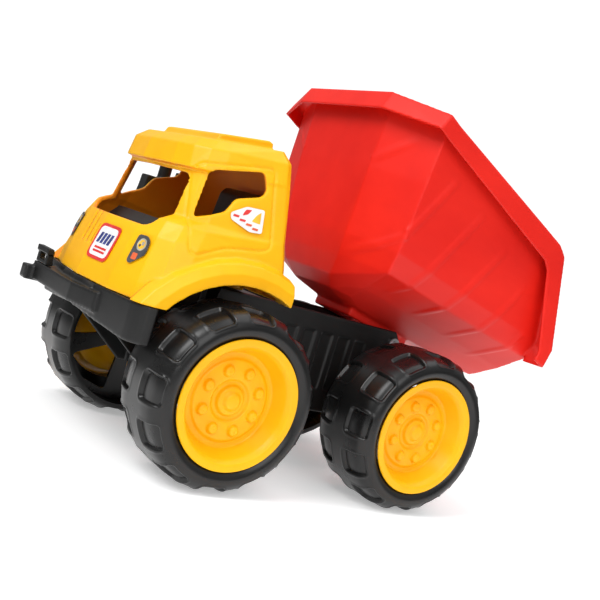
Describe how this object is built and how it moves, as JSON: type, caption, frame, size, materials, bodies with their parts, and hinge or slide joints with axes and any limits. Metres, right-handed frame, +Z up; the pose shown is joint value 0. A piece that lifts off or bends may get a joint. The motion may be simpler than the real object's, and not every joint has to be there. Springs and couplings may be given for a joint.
{
  "type": "toy dump truck",
  "caption": "Plastic sand-pit dump truck with a tipping bed on a hinge pin, an open-window cab and rolling wheels.",
  "frame": {"origin": "middle of the truck's length and width, on the ground", "axes": "-Y is the truck's front, +X its left, +Z up"},
  "size_m": [0.21, 0.3594, 0.2773],
  "materials": {
    "yellow_plastic": "semi-gloss",
    "red_plastic": "semi-gloss",
    "black_plastic": "semi-gloss",
    "tyre_plastic": "semi-gloss",
    "zinc_steel": "zinc plated",
    "label_white": "printed film",
    "label_grey": "printed film"
  },
  "bodies": {
    "chassis": {"chassis_frame": "black_plastic", "cab_shell": "yellow_plastic", "cab_interior": "black_plastic", "cab_seat": "black_plastic", "air_filter_box": "black_plastic", "front_bumper": "black_plastic", "tow_bracket": "black_plastic", "front_axle": "zinc_steel", "rear_axle": "zinc_steel", "bed_hinge_pin": "zinc_steel", "pin_clip_left": "zinc_steel", "pin_clip_right": "zinc_steel", "front_badge": "label_white", "lamp_label_left": "label_grey", "lamp_label_right": "label_grey", "door_label_left": "label_white", "door_label_right": "label_white", "cab_screw_0": "zinc_steel", "cab_screw_1": "zinc_steel", "cab_screw_2": "zinc_steel", "cab_screw_3": "zinc_steel", "axle_spacer_front_left": "black_plastic", "axle_spacer_front_right": "black_plastic", "axle_spacer_rear_left": "black_plastic", "axle_spacer_rear_right": "black_plastic", "axle_push_nut_front_left": "zinc_steel", "axle_push_nut_front_right": "zinc_steel", "axle_push_nut_rear_left": "zinc_steel", "axle_push_nut_rear_right": "zinc_steel"},
    "bed": {"dump_bed": "red_plastic"},
    "wheel_front_left": {"tyre_front_left": "tyre_plastic", "rim_front_left": "yellow_plastic"},
    "wheel_front_right": {"tyre_front_right": "tyre_plastic", "rim_front_right": "yellow_plastic"},
    "wheel_rear_left": {"tyre_rear_left": "tyre_plastic", "rim_rear_left": "yellow_plastic"},
    "wheel_rear_right": {"tyre_rear_right": "tyre_plastic", "rim_rear_right": "yellow_plastic"}
  },
  "joints": [
    {"name": "bed_tip", "type": "hinge", "parent": "chassis", "child": "bed", "pos_m": [0, 0.07865, 0.1075], "axis": [1, 0, 0], "range_deg": [-30, 11.3]},
    {"name": "wheel_front_left_roll", "type": "hinge", "parent": "chassis", "child": "wheel_front_left", "pos_m": [0.077, -0.08875, 0.057], "axis": [1, 0, 0], "continuous": true},
    {"name": "wheel_front_right_roll", "type": "hinge", "parent": "chassis", "child": "wheel_front_right", "pos_m": [-0.077, -0.08875, 0.057], "axis": [1, 0, 0], "continuous": true},
    {"name": "wheel_rear_left_roll", "type": "hinge", "parent": "chassis", "child": "wheel_rear_left", "pos_m": [0.077, 0.06725, 0.057], "axis": [1, 0, 0], "continuous": true},
    {"name": "wheel_rear_right_roll", "type": "hinge", "parent": "chassis", "child": "wheel_rear_right", "pos_m": [-0.077, 0.06725, 0.057], "axis": [1, 0, 0], "continuous": true}
  ]
}
